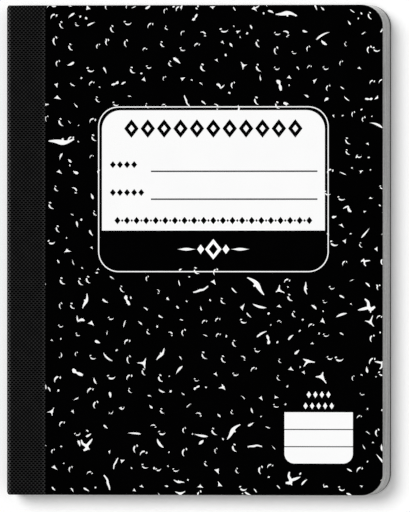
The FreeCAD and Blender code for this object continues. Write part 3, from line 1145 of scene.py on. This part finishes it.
def leafPath(fore, crease, spineLevel, mainLevel, bendFrom):
    # from the fore edge to where the sheet bends round the spine
    radius = book["cornerRadius"] - book["pageInset"]
    xs = []
    for i in range(sheets["cornerSteps"] + 1):
        angle = math.pi / 2 * i / sheets["cornerSteps"]
        xs.append(fore - radius * (1 - math.cos(angle)))
    xs.append(crease + sheets["foldAfter"] + sheets["flatFrom"])
    for i in range(sheets["foldSteps"] + 1):
        share = i / sheets["foldSteps"]
        x = crease + sheets["foldAfter"] - share * (sheets["foldAfter"] + sheets["foldBefore"])
        if x > bendFrom + sheets["leastStep"]:
            xs.append(x)
    return [(x, foldLevel(x, crease, spineLevel, mainLevel)) for x in xs]


def addFoldedSheet(mesh, depth, rng):
    # depth runs from 0 for the outermost sheet to 1 for the innermost
    inset = tapeThickness + depth * (top / 2 - tapeThickness)
    halfBlock = (frontBoardLow.z - backBoardHigh.z) / 2
    highMain = frontBoardLow.z - depth * halfBlock
    lowMain = backBoardHigh.z + depth * halfBlock
    bend = max(book["spineRadius"] - inset, sheets["leastBend"])
    bend = min(bend, sheets["roundest"] * (highMain - lowMain) / 2)
    highX = spineLine(top - inset) + inset * stretch
    lowX = spineLine(inset) + inset * stretch
    highZ = foldLevel(highX + sheets["highReach"] * bend, frontCrease, top - inset, highMain)
    lowZ = foldLevel(lowX + sheets["lowReach"] * bend, backCrease, inset, lowMain)
    highCorner = (spineLine(highZ) + inset * stretch, highZ)
    lowCorner = (spineLine(lowZ) + inset * stretch, lowZ)
    steps = sheets["bendSteps"]
    highArc = roundCorner((highCorner[0] + 1, highZ), highCorner, lowCorner, bend, steps)
    lowArc = roundCorner(highCorner, lowCorner, (lowCorner[0] + 1, lowZ), bend, steps)
    highFore = foreEdge(highMain) - sheets["uneven"] * rng.random()
    lowFore = foreEdge(lowMain) - sheets["uneven"] * rng.random()
    reach = pagesHigh.y - sheets["uneven"] * rng.random()
    high = leafPath(highFore, frontCrease, top - inset, highMain, highArc[0][0])
    low = leafPath(lowFore, backCrease, inset, lowMain, lowArc[-1][0])
    path = high + highArc + lowArc + low[::-1]
    radius = book["cornerRadius"] - book["pageInset"]
    heights = []
    for i, (x, z) in enumerate(path):
        fore = highFore if i < len(high) else lowFore
        past = x - (fore - radius)
        cut = radius - math.sqrt(max(0, radius ** 2 - past ** 2)) if past > 0 else 0
        heights.append(halfHeight(x, z, reach) - cut)
    # only the outermost sheet shows its ruled sides; the others take the cut edges' painted shade on their
    # broad sides too, so the rims seen between neighbours read as shaded
    outermost = depth < 1 / sheets["count"]
    addStrip(mesh, path, heights, sheets["thickness"], broadSlot=0 if outermost else 1)


def makeSheets():
    rng = random.Random(sheets["seed"])
    mesh = bmesh.new()
    for i in range(sheets["count"]):
        addFoldedSheet(mesh, (i + 0.5) / sheets["count"], rng)
    piece = addPiece("foldedSheets", mesh, [ruledPaper, shadedSheetEdge])
    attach(piece, "pages")
    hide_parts("page_block")


makeSheets()
print("sheets made")

# Tape: one half for each cover, and they meet in the middle of the spine
tape = {
    "followFrom": 0.0001,  # the fold's rings run from this far before the crease
    "followTo": 0.0004,  # to this far past it
    "foldMargin": 0.00005,  # steps of the fold start and end this far outside that
    "foldSteps": 10,
    "bendSteps": 14,
}


def tapeEnds(crease, edge, z):
    # flat part of the tape, from its edge to the spine side of the crease
    points = [(edge, z)]
    margin = tape["foldMargin"]
    width = tape["followFrom"] + tape["followTo"] + 2 * margin
    for i in range(tape["foldSteps"] + 1):
        share = i / tape["foldSteps"]
        points.append((crease + tape["followTo"] + margin - share * width, z))
    return points


def makeTapeHalf(name, path, uvStart, nodes):
    mesh = bmesh.new()
    heights = [halfHeight(x, height, head) for x, height in path]
    addStrip(mesh, path, heights, tapeThickness, uvStart)
    for face in mesh.faces:
        face.material_index = 0
    piece = addPiece(name, mesh, [spineCloth])
    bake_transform(piece)
    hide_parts(*nodes)


spineHigh = (frontSpine, top)
spineLow = (backSpine, 0)
spineMiddle = (spineLine(top / 2), top / 2)
highBend = roundCorner((frontSpine + 1, top), spineHigh, spineLow, book["spineRadius"], tape["bendSteps"])
lowBend = roundCorner(spineHigh, spineLow, (backSpine + 1, 0), book["spineRadius"], tape["bendSteps"])
frontPath = tapeEnds(frontCrease, frontTapeEdge, top) + highBend + [spineMiddle]
backPath = tapeEnds(backCrease, backTapeEdge, 0) + lowBend[::-1] + [spineMiddle]
frontLength = pathLength(frontPath)
spineCloth = makeCloth(frontLength + pathLength(backPath))
frontStrips = ["spine_tape_front", "spine_tape_middle"]
backStrips = ["spine_tape_back", "spine_tape_middle"]
makeTapeHalf("tapeFrontHalf", frontPath, 0.0, frontStrips)
makeTapeHalf("tapeBackHalf", backPath[::-1], frontLength, backStrips)
print("tape made")

# Room: white floor and air, one broad light from the upper left
room = {
    "floorLevel": -0.0002,
    "floorSize": 3.0,
    "floorSeen": (1, 1, 1, 1),
    "floorLit": (0.8, 0.8, 0.8, 1),  # what the book gets of it
    "sunFrom": (-0.78, 0.46, 1.0),
    "sunSpread": 30,  # degrees
    "sunStrength": 2.1,
    "airStrength": 0.5,
    "floorGlow": 0.04,
}


def makeFloor():
    size = room["floorSize"] / 2
    mesh = bmesh.new()
    corners = [mesh.verts.new((x, y, room["floorLevel"])) for x, y in rectangleLoop(-size, -size, size, size)]
    mesh.faces.new(corners)
    material, tree, shader = newMaterial("floor")
    seen = addNode(tree, "ShaderNodeLightPath").outputs["Is Camera Ray"]
    colour = mixColours(tree, seen, room["floorLit"], room["floorSeen"])
    tree.links.new(colour, shader.inputs["Base Color"])
    shader.inputs["Roughness"].default_value = 1.0
    shader.inputs["Specular IOR Level"].default_value = 0.0
    shader.inputs["Emission Color"].default_value = (1, 1, 1, 1)
    tree.links.new(times(tree, seen, room["floorGlow"]), shader.inputs["Emission Strength"])
    addPiece("floor", mesh, [material])


def makeAir():
    world = bpy.data.worlds.new("air")
    bpy.context.scene.world = world
    world.use_nodes = True
    tree = world.node_tree
    path = addNode(tree, "ShaderNodeLightPath")
    direct = maths(tree, "MAXIMUM", path.outputs["Is Camera Ray"], path.outputs["Is Glossy Ray"])
    direct = maths(tree, "MAXIMUM", direct, path.outputs["Is Transmission Ray"])
    background = tree.nodes["Background"]
    background.inputs["Color"].default_value = (1, 1, 1, 1)
    tree.links.new(ramp(tree, direct, room["airStrength"], 1.0), background.inputs["Strength"])


def makeSun():
    light = bpy.data.lights.new("sun", "SUN")
    light.energy = room["sunStrength"]
    light.angle = math.radians(room["sunSpread"])
    addObject("sun", light).rotation_euler = Vector(room["sunFrom"]).to_track_quat("Z", "Y").to_euler()


# Camera: far off with a long lens, turned a little towards the fore edge
shot = {
    "turn": 4.0,  # degrees
    "distance": 4.0,
    "sensor": 36,  # millimetres
    "clipEnd": 20,
    "pixelsPerMetre": 1979,
    "frameHeight": 512,  # pixels
    "rightwards": 0.00535,  # from the middle of the front cover to the middle of the picture
    "upwards": -0.003,
}


def makeCamera():
    turn = math.radians(shot["turn"])
    middle = Vector(((frontSide + frontFore) / 2, 0, top))
    target = middle + Vector((math.cos(turn), 0, -math.sin(turn))) * shot["rightwards"]
    target.y += shot["upwards"]
    data = bpy.data.cameras.new("camera")
    data.sensor_width = shot["sensor"]
    data.lens = shot["sensor"] * shot["distance"] / (shot["frameHeight"] / shot["pixelsPerMetre"])
    data.clip_end = shot["clipEnd"]
    camera = addObject("camera", data)
    camera.rotation_euler = (0, turn, 0)
    camera.location = target + Vector((math.sin(turn), 0, math.cos(turn))) * shot["distance"]
    bpy.context.scene.camera = camera


makeFloor()
makeAir()
makeSun()
makeCamera()
bpy.context.scene.view_settings.view_transform = "Standard"
print("room ready")
